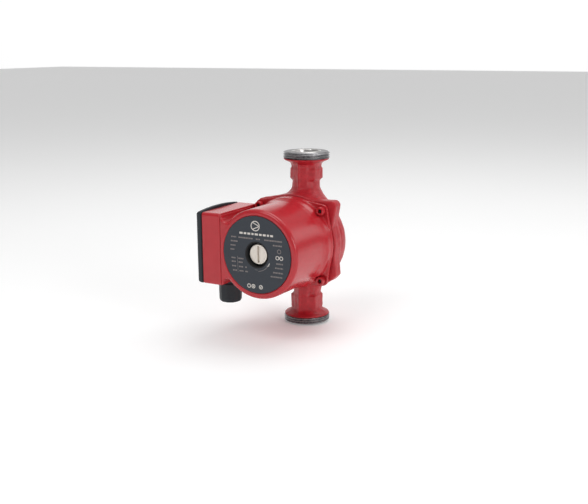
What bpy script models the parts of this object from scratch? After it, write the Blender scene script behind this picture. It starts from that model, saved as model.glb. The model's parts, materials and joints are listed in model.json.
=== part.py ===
"""A three-speed inline circulator pump, built as separate solids.

The frame: +Z runs up the pipe, from the inlet port to the outlet port. The motor's axis is the Y axis and
its front faces -Y. The origin is where the two axes cross. The dimensions below are in millimetres, and
every mesh is scaled to metres as it is made.
"""

import math

import bmesh
import bpy

MM = 0.001
TAU = 2.0 * math.pi
ROUND = 32  # flats round a large circle
BEARING_ROUND = 24  # enough that the shaft turns freely in its faceted bearings
SMALL_ROUND = 16
TINY_ROUND = 10

# Ports and pipe necks
PORT_HALF = 90.0  # half of the 180 mm between the port faces
THREAD_R = 23.9  # G 1 1/2 pipe thread, crest radius
THREAD_PITCH = 2.309
THREAD_DEPTH = 1.1
THREAD_CRESTS = 4
PORT_UNDERSIDE = 81.0
BORE_R = 12.5
NECK_HEX_R = 17.0  # wrench flats, across corners

# Casing: positions along the motor axis, and radii
CASING_FRONT = -28.7
FLANGE_BACK = -17.0
CASING_BACK = 30.0
CASING_R = 48.4
CHAMBER_R = 42.0
CHAMBER_FLOOR = -5.5
PARTITION = 3.0
SPIGOT_R = 43.0
SPIGOT_FLOOR = -25.5
EYE_R = 13.5

# Motor
MOTOR_FRONT = -98.4
MOTOR_R = 44.0
FRONT_FILLET = 4.0
STATOR_BORE_R = 40.3
FRONT_WALL = 3.6
MOTOR_BACK = -29.3
LUG_FACE = -33.0
WEB_BACK = -42.0
SCREW_SQUARE = 35.6  # the flange screws stand at plus and minus this in X and Z
SCREW_POCKET_R = 5.3
FLANGE_R = 46.9
LUG_R = 6.0
CASING_LUG_R = 6.8
CASING_FLANGE_R = 48.4
PLATE_R = 37.9
PLATE_THICK = 0.8
PLUG_HOLE_R = 13.2
ROTOR_R = 20.8
CAN_BORE_R = 21.5
SHAFT_R = 5.0
RUNNING = 0.08  # radial clearance of the shaft in its bearings
GAP = 0.3  # between pieces that touch

# Terminal box
BOX_SIDE = -42.3  # the face towards the motor
BOX_RIM = -63.6
BOX_FRONT = -98.4
BOX_BACK = -29.2
BOX_HALF_Z = 36.2
BOX_CORNER = 3.2
BOX_WALL = 2.8
COVER_RIM = -64.8
COVER_END = -71.8
COVER_FACE = -69.7  # where the cover screws seat
LEAD_Y = -80.5
SELECTOR_AT = (-53.0, 14.0)  # Y and Z of the speed selector's axis
CAPACITOR_AT = (-54.4, 21.6)  # X and Z of its axis
EARTH_AT = (-48.0, -24.0)
TERMINAL_Z = -11.0
GLAND_X = -51.5
GLAND_Y = -68.0
GLAND_TOP = -36.5
GLAND_END = -59.5
GLAND_R = 12.0
CABLE_R = 4.4


# --- Materials --------------------------------------------------------------------------------

def material(name, colour, roughness, metallic=0.0):
    made = bpy.data.materials.new(name)
    made.use_nodes = True
    shader = made.node_tree.nodes["Principled BSDF"]
    shader.inputs["Base Color"].default_value = (*colour, 1.0)
    shader.inputs["Roughness"].default_value = roughness
    shader.inputs["Metallic"].default_value = metallic
    made.diffuse_color = (*colour, 1.0)
    return made


def make_materials():
    return {
        "cast_red": material("cast_red", (0.42, 0.035, 0.045), 0.55),
        "paint_red": material("paint_red", (0.50, 0.035, 0.045), 0.35),
        "slate": material("slate", (0.055, 0.06, 0.07), 0.5),
        "black_plastic": material("black_plastic", (0.03, 0.033, 0.036), 0.5),
        "plug_metal": material("plug_metal", (0.75, 0.71, 0.66), 0.35, 1.0),
        "stainless": material("stainless", (0.62, 0.62, 0.62), 0.3, 1.0),
        "steel": material("steel", (0.45, 0.45, 0.46), 0.4, 1.0),
        "ceramic": material("ceramic", (0.85, 0.83, 0.78), 0.3),
        "carbon": material("carbon", (0.03, 0.03, 0.03), 0.6),
        "rubber": material("rubber", (0.02, 0.02, 0.02), 0.8),
        "lamination": material("lamination", (0.3, 0.3, 0.32), 0.5, 1.0),
        "copper": material("copper", (0.6, 0.25, 0.1), 0.4, 1.0),
        "composite": material("composite", (0.2, 0.17, 0.14), 0.5),
        "white_plastic": material("white_plastic", (0.75, 0.74, 0.7), 0.5),
        "brass": material("brass", (0.7, 0.5, 0.2), 0.35, 1.0),
        "lead_brown": material("lead_brown", (0.12, 0.05, 0.02), 0.6),
    }


# --- Shapes -----------------------------------------------------------------------------------

def about(axis, radial_a, radial_b, along):
    """A point given by its two coordinates across an axis and its place along it."""
    return {
        "X": (along, radial_a, radial_b),
        "Y": (radial_a, along, radial_b),
        "Z": (radial_a, radial_b, along),
    }[axis]


def finished(mesh):
    """Closes the making of a bmesh: faces out, scaled to metres."""
    bmesh.ops.recalc_face_normals(mesh, faces=mesh.faces)
    bmesh.ops.scale(mesh, vec=(MM, MM, MM), verts=mesh.verts)
    return mesh


def skinned(rings, closed=False):
    """Faces between neighbouring rings of points; the first and last rings are capped unless closed."""
    mesh = bmesh.new()
    made = [[mesh.verts.new(point) for point in ring] for ring in rings]
    pairs = list(zip(made, made[1:]))
    if closed:
        pairs.append((made[-1], made[0]))
    for first, second in pairs:
        for k in range(len(first)):
            n = (k + 1) % len(first)
            mesh.faces.new((first[k], first[n], second[n], second[k]))
    if not closed:
        mesh.faces.new(made[0])
        mesh.faces.new(made[-1])
    return finished(mesh)


def circle(axis, radius, along, centre=(0.0, 0.0), segments=ROUND):
    steps = (TAU * k / segments for k in range(segments))
    return [
        about(axis, centre[0] + radius * math.cos(s), centre[1] + radius * math.sin(s), along)
        for s in steps
    ]


def turned(profile, axis="Y", centre=(0.0, 0.0), segments=ROUND):
    """A body turned from (radius, place along the axis) points; a profile off the axis closes on itself."""
    off_axis = [point for point in profile if point[0] > 0.0]
    rings = [circle(axis, radius, along, centre, segments) for radius, along in off_axis]
    return skinned(rings, closed=len(off_axis) == len(profile))


def disc(radius, low, high, axis="Y", centre=(0.0, 0.0), segments=ROUND):
    return turned([(0.0, low), (radius, low), (radius, high), (0.0, high)], axis, centre, segments)


def ring(inner, outer, low, high, axis="Y", centre=(0.0, 0.0), segments=ROUND):
    return turned([(inner, low), (outer, low), (outer, high), (inner, high)], axis, centre, segments)


def prism(outline, axis, low, high):
    """An outline of points across an axis, extruded along it."""
    return skinned([[about(axis, a, b, along) for a, b in outline] for along in (low, high)])


def arc(centre, radius, start, end, steps):
    """Points on an arc, with its angles in degrees."""
    angles = (math.radians(start + (end - start) * k / steps) for k in range(steps + 1))
    return [(centre[0] + radius * math.cos(a), centre[1] + radius * math.sin(a)) for a in angles]


def rounded_box_outline(low_a, high_a, low_b, high_b, radius, steps=3):
    corners = (
        (high_a - radius, high_b - radius, 0),
        (low_a + radius, high_b - radius, 90),
        (low_a + radius, low_b + radius, 180),
        (high_a - radius, low_b + radius, 270),
    )
    return [point for a, b, start in corners for point in arc((a, b), radius, start, start + 90, steps)]


def block(low, high):
    """A box between two corners."""
    outline = [(low[0], low[1]), (high[0], low[1]), (high[0], high[1]), (low[0], high[1])]
    return prism(outline, "Z", low[2], high[2])


def polygon(radius, sides, turn=0.0):
    return [
        (radius * math.cos(TAU * k / sides + turn), radius * math.sin(TAU * k / sides + turn))
        for k in range(sides)
    ]


# --- Objects ----------------------------------------------------------------------------------

def add(name, mesh, look=None, smooth_angle=35.0):
    data = bpy.data.meshes.new(name)
    mesh.to_mesh(data)
    mesh.free()
    made = bpy.data.objects.new(name, data)
    bpy.context.scene.collection.objects.link(made)
    if look is not None:
        dress(made, look, smooth_angle)
    return made


def dress(made, look, smooth_angle=35.0):
    made.data.materials.clear()
    made.data.materials.append(look)
    made.data.shade_smooth()
    made.data.set_sharp_from_angle(angle=math.radians(smooth_angle))
    return made


def combine(target, operation, tools):
    """Applies Booleans with each tool shape to the target."""
    for mesh in tools:
        helper = add(target.name + "_tool", mesh)
        modifier = target.modifiers.new("shape", "BOOLEAN")
        modifier.operation = operation
        modifier.solver = "EXACT"
        modifier.object = helper
        graph = bpy.context.evaluated_depsgraph_get()
        shaped = bpy.data.meshes.new_from_object(target.evaluated_get(graph))
        target.modifiers.clear()
        old = target.data
        target.data = shaped
        bpy.data.meshes.remove(old)
        bpy.data.objects.remove(helper)
    return target


def join(target, *tools):
    return combine(target, "UNION", tools)


def cut(target, *tools):
    return combine(target, "DIFFERENCE", tools)


def set_origin(made, point):
    """Moves an object's origin onto its joint's axis, and leaves its shape where it is."""
    place = [value * MM for value in point]
    for vertex in made.data.vertices:
        vertex.co.x -= place[0]
        vertex.co.y -= place[1]
        vertex.co.z -= place[2]
    made.location = place
    return made


# --- Pump casing ------------------------------------------------------------------------------

def neck_ring_points(z, radius, hexness, centre=(0.0, 0.0), stretch=1.0, points=24):
    """A neck section between a circle and a hexagon with corners towards the front and back."""
    made = []
    for k in range(points):
        angle = TAU * k / points
        to_side = (angle - math.pi / 2) % (TAU / 6) - TAU / 12
        hexagon = math.cos(TAU / 12) / math.cos(to_side)
        reach = radius * (1 - hexness + hexness * hexagon)
        made.append((centre[0] + stretch * reach * math.cos(angle), centre[1] + reach * math.sin(angle), z))
    return made


def outlet_neck():
    sections = [
        (84.0, 20.0, 0.0, (0, 0), 1.0),
        (79.6, 18.6, 0.0, (0, 0), 1.0),
        (77.0, 16.4, 0.5, (0, 0), 1.0),
        (73.2, 15.9, 0.8, (0, 0), 1.0),
        (71.6, NECK_HEX_R, 1.0, (0, 0), 1.0),
        (62.0, NECK_HEX_R, 1.0, (0, 0), 1.0),
        (58.5, 15.2, 0.9, (0, -0.3), 1.0),
        (52.0, 15.3, 0.7, (0.4, -2.0), 1.0),
        (46.0, 16.5, 0.4, (2.5, -5.0), 1.15),
        (41.0, 17.0, 0.2, (4.5, -9.0), 1.35),
        (30.0, 16.0, 0.0, (4.5, -11.0), 1.5),
    ]
    return skinned([neck_ring_points(*section) for section in sections])


def inlet_neck():
    sections = [
        (-84.0, 20.0, 0.0, (0, 0)),
        (-79.6, 18.6, 0.0, (0, 0)),
        (-76.0, 17.4, 0.5, (0, 0)),
        (-74.4, NECK_HEX_R, 1.0, (0, 0)),
        (-62.0, NECK_HEX_R, 1.0, (0, 0)),
        (-58.5, 16.2, 0.9, (0, 0.8)),
        (-50.0, 16.4, 0.6, (0, 4.5)),
        (-42.0, 16.0, 0.3, (0, 9.0)),
        (-30.0, 15.5, 0.0, (0, 11.5)),
        (-10.0, 15.5, 0.0, (0, 12.0)),
        (4.0, 13.0, 0.0, (0, 11.0)),
    ]
    return skinned([neck_ring_points(*section) for section in sections])


def port_flange(side):
    """The threaded end of a port, with one ridge for each turn of the thread."""
    face_r = THREAD_R - 2.2
    root_r = THREAD_R - THREAD_DEPTH
    profile = [(0.0, PORT_HALF), (face_r, PORT_HALF)]
    crest = PORT_HALF - 1.4
    profile.append((face_r + 1.2, crest))
    for k in range(THREAD_CRESTS - 1):
        profile.append((root_r, crest - THREAD_PITCH * (k + 0.5)))
        profile.append((THREAD_R, crest - THREAD_PITCH * (k + 1)))
    profile += [(THREAD_R - 0.4, PORT_UNDERSIDE), (17.5, 77.8), (0.0, 77.8)]
    return turned([(radius, side * z) for radius, z in profile], "Z", segments=BEARING_ROUND)


def casing_outline():
    """The casing flange: drawn out to a lug at each screw, the upper right lug squared off."""
    reach = SCREW_SQUARE
    tangent = math.degrees(math.acos((CASING_FLANGE_R - CASING_LUG_R) / (reach * math.sqrt(2))))
    outline = arc((0, 0), CASING_FLANGE_R, -12, 22, 4)
    outline += arc((45.5, 41.5), 3.4, 0, 90, 3)
    outline += arc((0, 0), CASING_FLANGE_R, 66, 135 - tangent, 5)
    outline += arc((-reach, reach), CASING_LUG_R, 135 - tangent, 135 + tangent, 4)
    outline += arc((0, 0), CASING_FLANGE_R, 135 + tangent, 225 - tangent, 3)
    outline += arc((-reach, -reach), CASING_LUG_R, 225 - tangent, 225 + tangent, 4)
    outline += arc((0, 0), CASING_FLANGE_R, 225 + tangent, 296, 5)
    outline += [(reach + 1.0, -40.6), (reach + 9.0, -35.6), (49.4, -30.5)]
    return outline


def make_pump_housing(look):
    body = [
        (0.0, -28.0), (47.0, -28.0), (47.8, -18.0), (CASING_R, -12.0), (CASING_R - 0.2, -7.0), (46.6, -2.0),
        (43.6, 3.0), (39.5, 9.5), (35.0, 17.0), (31.5, 23.0), (28.0, 27.5), (24.0, CASING_BACK),
        (0.0, CASING_BACK),
    ]
    made = add("pump_housing", turned(body))
    join(
        made, prism(casing_outline(), "Y", CASING_FRONT, FLANGE_BACK), outlet_neck(), inlet_neck(),
        port_flange(1), port_flange(-1),
    )
    chamber = [
        (0.0, -40.0), (SPIGOT_R, -40.0), (SPIGOT_R, SPIGOT_FLOOR), (CHAMBER_R - 2.3, SPIGOT_FLOOR),
        (CHAMBER_R, -22.0), (CHAMBER_R, -9.0), (CHAMBER_R - 2.5, CHAMBER_FLOOR), (0.0, CHAMBER_FLOOR),
    ]
    outlet_way = [
        (100.0, BORE_R, 0.0), (60.0, BORE_R, 0.0), (50.0, 11.6, -4.0), (41.0, 10.2, -12.0), (30.0, 9.4, -15.0),
    ]
    inlet_way = [
        (-100.0, BORE_R, 0.0), (-58.0, BORE_R, 0.5), (-50.0, 11.8, 4.0), (-42.0, 10.9, 8.6),
        (-34.0, 10.4, 11.0), (-8.0, 10.6, 11.0), (0.0, 9.0, 10.5), (5.0, 5.0, 10.0),
    ]
    partition_back = CHAMBER_FLOOR + PARTITION
    eye = [(0.0, -9.0), (EYE_R, -9.0), (EYE_R, partition_back + 2), (11.0, 12.0), (0.0, 12.0)]
    cut(
        made, turned(chamber), turned(eye, segments=SMALL_ROUND),
        skinned([circle("Z", radius, z, (0.0, y), SMALL_ROUND) for z, radius, y in outlet_way]),
        skinned([circle("Z", radius, z, (0.0, y), SMALL_ROUND) for z, radius, y in inlet_way]),
        *[disc(2.8, -40.0, -18.6, centre=at, segments=TINY_ROUND) for at in screw_places()],
    )
    dress(made, look)


def screw_places():
    return [(SCREW_SQUARE * sx, SCREW_SQUARE * sz) for sx, sz in ((1, 1), (1, -1), (-1, -1), (-1, 1))]


# --- Hydraulic pieces -------------------------------------------------------------------------

def impeller_vane(start):
    """A backward-curved blade between the two shrouds."""
    inner_r, outer_r, sweep, thick, steps = 12.0, 34.0, math.radians(70), 1.8, 5
    middle = []
    for k in range(steps + 1):
        share = k / steps
        radius = inner_r + (outer_r - inner_r) * share
        angle = start - sweep * share
        middle.append((radius * math.cos(angle), radius * math.sin(angle)))
    left, right = [], []
    for k, (x, z) in enumerate(middle):
        before, after = middle[max(k - 1, 0)], middle[min(k + 1, steps)]
        along = math.atan2(after[1] - before[1], after[0] - before[0])
        dx, dz = -math.sin(along) * thick / 2, math.cos(along) * thick / 2
        left.append((x + dx, z + dz))
        right.append((x - dx, z - dz))
    return prism(left + right[::-1], "Y", -22.4, -11.6)


def make_impeller(look):
    hub = [
        (SHAFT_R + GAP, -23.5), (35.0, -23.5), (35.0, -22.0), (13.5, -22.0), (9.0, -19.0), (8.5, -12.5),
        (SHAFT_R + GAP, -12.5),
    ]
    shroud = [
        (13.0, -6.2), (15.1, -6.2), (15.1, -10.4), (18.0, -11.0), (35.0, -11.0), (35.0, -12.5), (13.0, -12.5),
    ]
    made = add("impeller", turned(hub))
    join(made, *[impeller_vane(TAU * k / 6) for k in range(6)], turned(shroud))
    dress(made, look)


def make_wet_end(looks):
    add("neck_ring", ring(15.7, 18.6, -9.4, CHAMBER_FLOOR - GAP, segments=SMALL_ROUND), looks["stainless"])
    gasket = ring(40.3, SPIGOT_R - GAP, -27.5, SPIGOT_FLOOR - GAP)
    add("housing_gasket", gasket, looks["rubber"])
    plate = [
        (9.0, -37.0), (11.2, -37.0), (11.2, -27.5), (39.2, -27.5), (39.2, -26.2), (9.0, -26.2),
    ]
    add("bearing_plate", turned(plate), looks["stainless"])
    can = [
        (10.0, -91.0), (10.0, -84.2), (CAN_BORE_R + 0.8, -84.2), (CAN_BORE_R + 0.8, -29.0),
        (SPIGOT_R - GAP, -29.0), (SPIGOT_R - GAP, -27.8), (CAN_BORE_R, -27.8), (CAN_BORE_R, -83.0),
        (10.0, -83.0), (10.0, -75.0), (8.8, -75.0), (8.8, -91.0),
    ]
    add("rotor_can", turned(can), looks["stainless"])
    for name, low, high in (("front_bearing", -82.5, -75.3), ("rear_bearing", -36.4, -28.0)):
        bearing = ring(SHAFT_R + RUNNING, 8.5, low, high, segments=BEARING_ROUND)
        add(name, bearing, looks["ceramic"])
    shaft = [(0.0, -87.0), (4.4, -87.0), (SHAFT_R, -86.2), (SHAFT_R, -13.2), (4.4, -12.6), (0.0, -12.6)]
    made = add("shaft", turned(shaft, segments=BEARING_ROUND))
    cut(made, block((-5.5, -88.0, -0.6), (5.5, -85.6, 0.6)))
    dress(made, looks["ceramic"])
    core = [
        (SHAFT_R + GAP, -71.5), (ROTOR_R - 0.8, -71.5), (ROTOR_R, -70.5), (ROTOR_R, -47.5),
        (ROTOR_R - 0.8, -46.5), (SHAFT_R + GAP, -46.5),
    ]
    add("rotor_core", turned(core), looks["stainless"])
    add("thrust_retainer", ring(SHAFT_R + GAP, 10.2, -46.1, -42.6, segments=SMALL_ROUND), looks["rubber"])
    add("thrust_bearing", ring(SHAFT_R + GAP, 9.4, -42.3, -38.0, segments=SMALL_ROUND), looks["carbon"])
    make_impeller(looks["composite"])


def make_vent(looks):
    seal = [(10.3, -92.6), (12.9, -92.6), (12.9, -91.0), (10.3, -91.0)]
    add("can_seal", turned(seal, segments=SMALL_ROUND), looks["rubber"])
    add("vent_gasket", ring(7.6, 9.6, -92.1, -91.3, segments=SMALL_ROUND), looks["rubber"])
    plug = [
        (0.0, -95.4), (9.5, -95.4), (9.9, -95.0), (9.9, -92.4), (7.3, -92.4), (7.3, -91.2), (8.4, -90.8),
        (8.4, -88.0), (0.0, -88.0),
    ]
    made = add("vent_screw", turned(plug, segments=SMALL_ROUND))
    cut(made, block((-0.75, -97.0, -7.8), (0.75, -93.4, 7.8)))
    dress(made, looks["plug_metal"])


# --- Motor ------------------------------------------------------------------------------------

def stator_outline():
    """The motor flange: a disc drawn out in straight lines to a round lug at each screw."""
    outline = []
    tangent = math.degrees(math.acos((FLANGE_R - LUG_R) / (SCREW_SQUARE * math.sqrt(2))))
    for quarter in range(4):
        middle = 45 + 90 * quarter
        place = (
            SCREW_SQUARE * math.sqrt(2) * math.cos(math.radians(middle)),
            SCREW_SQUARE * math.sqrt(2) * math.sin(math.radians(middle)),
        )
        outline += arc((0, 0), FLANGE_R, middle - 90 + tangent, middle - tangent, 3)
        outline += arc(place, LUG_R, middle - tangent, middle + tangent, 6)
    return outline


def web_outline():
    """The web between the motor and the terminal box, hollowed above and below by a scoop."""
    upper = [(-30.0, 26.3)] + arc((-35.0, 32.0), 5.8, -80, -170, 5) + [(-41.0, 33.6)]
    lower = [(x, -z) for x, z in reversed(upper)]
    return upper + [(-42.0, 33.0), (-42.0, -33.0)] + lower + [(-24.0, -20.0), (-24.0, 20.0)]


def make_stator_housing(look):
    profile = [(0.0, MOTOR_FRONT)]
    profile += [
        (r, y) for r, y in arc((MOTOR_R - FRONT_FILLET, MOTOR_FRONT + FRONT_FILLET), FRONT_FILLET, -90, 0, 4)
    ]
    profile += [(44.4, -47.0), (46.3, -41.5), (46.9, -38.0), (46.9, -30.0), (0.0, -30.0)]
    made = add("stator_housing", turned(profile))
    flange = prism(stator_outline(), "Y", LUG_FACE, MOTOR_BACK)
    web = prism(web_outline(), "Y", MOTOR_FRONT + 0.3, WEB_BACK)
    join(made, flange, web)
    cavity_front = MOTOR_FRONT + FRONT_WALL
    cut(
        made,
        disc(STATOR_BORE_R, cavity_front, -20.0),
        disc(PLATE_R + GAP, MOTOR_FRONT - 5, MOTOR_FRONT + 0.9),
        disc(PLUG_HOLE_R, MOTOR_FRONT - 5, -90.0, segments=SMALL_ROUND),
        block((-60.0, MOTOR_FRONT - 5, -BOX_HALF_Z - 0.6), (BOX_SIDE + GAP, BOX_BACK + 0.6, BOX_HALF_Z + 0.6)),
        disc(7.0, -50.0, -36.0, "X", (LEAD_Y, 0.0), SMALL_ROUND),
        *[disc(SCREW_POCKET_R, -60.0, LUG_FACE, centre=at, segments=SMALL_ROUND) for at in screw_places()],
        *[disc(2.8, -40.0, -20.0, centre=at, segments=TINY_ROUND) for at in screw_places()],
        *[disc(2.1, -50.0, -38.4, "X", at, TINY_ROUND) for at in box_screw_places()],
    )
    dress(made, look)


def make_flange_screws(look):
    for number, at in enumerate(screw_places(), 1):
        head = LUG_FACE - GAP
        profile = [
            (0.0, head - 5.0), (3.9, head - 5.0), (4.3, head - 4.6), (4.3, head), (2.5, head), (2.5, -20.0),
            (0.0, -20.0),
        ]
        made = add(f"flange_screw_{number}", turned(profile, centre=at, segments=SMALL_ROUND))
        socket = [(at[0] + x, at[1] + z) for x, z in polygon(2.31, 6, math.pi / 6)]
        cut(made, prism(socket, "Y", head - 6.0, head - 2.4))
        dress(made, look)


def make_motor(looks):
    make_stator_housing(looks["paint_red"])
    make_flange_screws(looks["paint_red"])
    core = add("stator_core", ring(22.7, STATOR_BORE_R - GAP, -73.0, -45.0), None)
    slots = []
    for k in range(12):
        middle = TAU * k / 12
        corners = [(22.0, -0.05), (31.5, -0.09), (31.5, 0.09), (22.0, 0.05)]
        outline = [(r * math.cos(middle + a), r * math.sin(middle + a)) for r, a in corners]
        slots.append(prism(outline, "Y", -75.0, -43.0))
    cut(core, *slots)
    dress(core, looks["lamination"])
    for name, low, high in (("winding_front", -82.0, -73.4), ("winding_rear", -44.6, -34.0)):
        edge = 2.0
        profile = [
            (24.5, low + edge), (24.5 + edge, low), (37.0 - edge, low), (37.0, low + edge), (37.0, high - edge),
            (37.0 - edge, high), (24.5 + edge, high), (24.5, high - edge),
        ]
        add(name, turned(profile, segments=SMALL_ROUND), looks["copper"])
    plate_back = MOTOR_FRONT + 0.9 - GAP
    plate = ring(PLUG_HOLE_R, PLATE_R, plate_back - PLATE_THICK, plate_back)
    add("nameplate", plate, looks["slate"])


# --- Terminal box -----------------------------------------------------------------------------

def box_screw_places():
    return [(-91.0, -17.0), (-50.0, -14.0)]


def cover_screw_places():
    return [(-90.0, -26.5), (-39.5, 26.5)]


def box_outline(inset):
    radius = max(BOX_CORNER - inset, 1.0)
    low, high = BOX_FRONT + inset, BOX_BACK - inset
    return rounded_box_outline(low, high, -BOX_HALF_Z + inset, BOX_HALF_Z - inset, radius)


def make_terminal_box(look):
    made = add("terminal_box", prism(box_outline(0.0), "X", BOX_SIDE, BOX_RIM))
    cut(made, prism(box_outline(BOX_WALL), "X", BOX_SIDE - BOX_WALL, BOX_RIM - 5.0))
    posts = [disc(4.2, BOX_SIDE - 1.0, BOX_RIM + GAP, "X", at, TINY_ROUND) for at in cover_screw_places()]
    posts.append(block((-46.2, -61.0, SELECTOR_AT[1] - 9.0), (-44.0, -45.0, SELECTOR_AT[1] + 9.0)))
    join(made, *posts)
    cut(
        made,
        disc(7.0, -50.0, -36.0, "X", (LEAD_Y, 0.0), SMALL_ROUND),
        disc(6.5, -40.0, -30.0, "Z", (GLAND_X, GLAND_Y), SMALL_ROUND),
        *[disc(2.2, -50.0, -40.0, "X", at, TINY_ROUND) for at in box_screw_places()],
        *[disc(1.8, -65.0, -50.0, "X", at, TINY_ROUND) for at in cover_screw_places()],
        disc(1.8, -50.0, -43.4, "X", EARTH_AT, TINY_ROUND),
    )
    dress(made, look)


def make_terminal_cover(look):
    depths = ((COVER_RIM, 0.0), (-68.6, 0.5), (-70.7, 2.0), (COVER_END, 5.0))
    shell = [[about("X", a, b, x) for a, b in box_outline(inset)] for x, inset in depths]
    made = add("terminal_cover", skinned(shell))
    cut(made, prism(box_outline(2.6), "X", -60.0, COVER_RIM - 3.6))
    inside = COVER_RIM + 0.6
    join(made, *[disc(4.2, COVER_FACE - 0.1, inside, "X", at, TINY_ROUND) for at in cover_screw_places()])
    join(made, disc(6.0, COVER_FACE - 0.1, inside - 1.5, "X", SELECTOR_AT, SMALL_ROUND))
    cut(
        made,
        *[disc(2.2, -75.0, -55.0, "X", at, TINY_ROUND) for at in cover_screw_places()],
        *[disc(4.0, -75.0, COVER_FACE, "X", at, TINY_ROUND) for at in cover_screw_places()],
        disc(2.8, -75.0, -55.0, "X", SELECTOR_AT, SMALL_ROUND),
        disc(4.4, -75.0, COVER_FACE - 0.2, "X", SELECTOR_AT, SMALL_ROUND),
    )
    dress(made, look)


def cross_screw(name, at, face, head_r, head_thick, shank_r, length, look):
    """A screw along X with its head towards -X, seated at a face and slotted crosswise."""
    profile = [
        (0.0, face - head_thick), (head_r - 0.4, face - head_thick), (head_r, face - head_thick + 0.5),
        (head_r, face), (shank_r, face), (shank_r, face + length), (0.0, face + length),
    ]
    made = add(name, turned(profile, "X", at, TINY_ROUND))
    deep, arm, half = face - head_thick + 0.8, head_r * 0.6, 0.35
    cut(
        made,
        block((face - 9.0, at[0] - arm, at[1] - half), (deep, at[0] + arm, at[1] + half)),
        block((face - 9.0, at[0] - half, at[1] - arm), (deep, at[0] + half, at[1] + arm)),
    )
    dress(made, look)


def make_box_fastenings(looks):
    for number, at in enumerate(box_screw_places(), 1):
        cross_screw(f"box_screw_{number}", at, BOX_SIDE - BOX_WALL - GAP, 3.6, 2.2, 1.9, 6.2, looks["steel"])
    for number, at in enumerate(cover_screw_places(), 1):
        cross_screw(f"cover_screw_{number}", at, COVER_FACE - GAP, 3.5, 1.9, 1.6, 14.0, looks["steel"])
    cross_screw("earth_screw", EARTH_AT, BOX_SIDE - BOX_WALL - GAP, 3.4, 2.0, 1.5, 1.6, looks["brass"])
    rim = prism(box_outline(0.3), "X", BOX_RIM - GAP, COVER_RIM + GAP)
    gasket = add("cover_gasket", rim)
    cut(gasket, prism(box_outline(2.4), "X", -70.0, -55.0))
    dress(gasket, looks["rubber"])


def make_electrics(looks):
    grommet = [
        (4.9, -40.7), (6.7, -40.7), (6.7, -45.4), (8.6, -45.4), (8.6, -46.2), (4.9, -46.2),
    ]
    add("lead_grommet", turned(grommet, "X", (LEAD_Y, 0.0), SMALL_ROUND), looks["rubber"])
    terminals = add("terminal_block", block((-58.0, -81.0, -18.0), (-46.5, -55.0, -4.6)))
    pitch, first = 8.4, -76.4
    wells = []
    for k in range(3):
        y = first + pitch * k
        wells.append(disc(2.4, -62.0, -52.0, "X", (y, TERMINAL_Z), TINY_ROUND))
        wells.append(disc(1.6, -10.0, 0.0, "Z", (-51.5, y), TINY_ROUND))
        wells.append(disc(1.6, -20.0, -10.0, "Z", (-51.5, y), TINY_ROUND))
    cut(terminals, *wells)
    dress(terminals, looks["white_plastic"])
    for k in range(3):
        y = first + pitch * k
        made = add(f"clamp_screw_{k + 1}", disc(2.1, -57.0, -53.4, "X", (y, TERMINAL_Z), TINY_ROUND))
        cut(made, block((-58.0, y - 3.0, TERMINAL_Z - 0.3), (-56.4, y + 3.0, TERMINAL_Z + 0.3)))
        dress(made, looks["brass"])
        make_lead(k, y, looks["lead_brown"])
    body = [(0.0, -93.0), (6.6, -93.0), (7.4, -92.2), (7.4, -66.8), (6.6, -66.0), (0.0, -66.0)]
    add("capacitor", turned(body, "Y", CAPACITOR_AT, SMALL_ROUND), looks["white_plastic"])
    add("capacitor_strap", ring(7.8, 8.8, -82.5, -77.5, "Y", CAPACITOR_AT, SMALL_ROUND), looks["black_plastic"])
    y, z = SELECTOR_AT
    add("speed_switch", block((-58.6, y - 7.6, z - 8.4), (-46.5, y + 7.6, z + 8.4)), looks["white_plastic"])


def make_lead(number, y, look):
    """An insulated wire from the front winding head through the grommet to its terminal."""
    around = math.radians(120 * number - 90)
    hole_y = LEAD_Y + 2.4 * math.cos(around)
    hole_z = 2.4 * math.sin(around)
    lane = -2.4 + 3.6 * number
    route = [
        (-37.6, hole_y, hole_z), (-47.0, hole_y, hole_z), (-49.8, hole_y + 0.2 * (y - hole_y), lane),
        (-51.3, hole_y + 0.7 * (y - hole_y), lane), (-51.8, y, lane - 2.8), (-51.5, y, -8.0),
    ]
    curve = bpy.data.curves.new(f"motor_lead_{number + 1}", "CURVE")
    curve.dimensions = "3D"
    curve.bevel_depth = 1.0 * MM
    curve.bevel_resolution = 1
    curve.use_fill_caps = True
    spline = curve.splines.new("POLY")
    spline.points.add(len(route) - 1)
    for point, place in zip(spline.points, route):
        point.co = (*[value * MM for value in place], 1.0)
    made = bpy.data.objects.new(f"motor_lead_{number + 1}", curve)
    bpy.context.scene.collection.objects.link(made)
    curve.materials.append(look)


def make_selector(looks):
    at = SELECTOR_AT
    spindle = disc(2.5, -58.9, -75.9, "X", at, SMALL_ROUND)
    axis_point = (-72.0, *at)
    set_origin(add("selector_spindle", spindle, looks["white_plastic"]), axis_point)
    add("selector_seal", ring(2.7, 4.1, -71.5, -70.2, "X", at, SMALL_ROUND), looks["rubber"])
    knob_r, face = 9.0, -78.3
    profile = [
        (0.0, face), (knob_r - 1.2, face), (knob_r, face + 1.0), (knob_r, -72.5), (2.8, -72.5), (2.8, -76.2),
        (0.0, -76.2),
    ]
    knob = add("speed_knob", turned(profile, "X", at, SMALL_ROUND))
    pointer = block((face - 1.6, at[0] - 1.4, at[1] - 6.5), (face + 0.8, at[0] + 1.4, at[1] + 8.0))
    join(knob, pointer)
    set_origin(dress(knob, looks["black_plastic"]), axis_point)


# --- Cable gland ------------------------------------------------------------------------------

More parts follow.
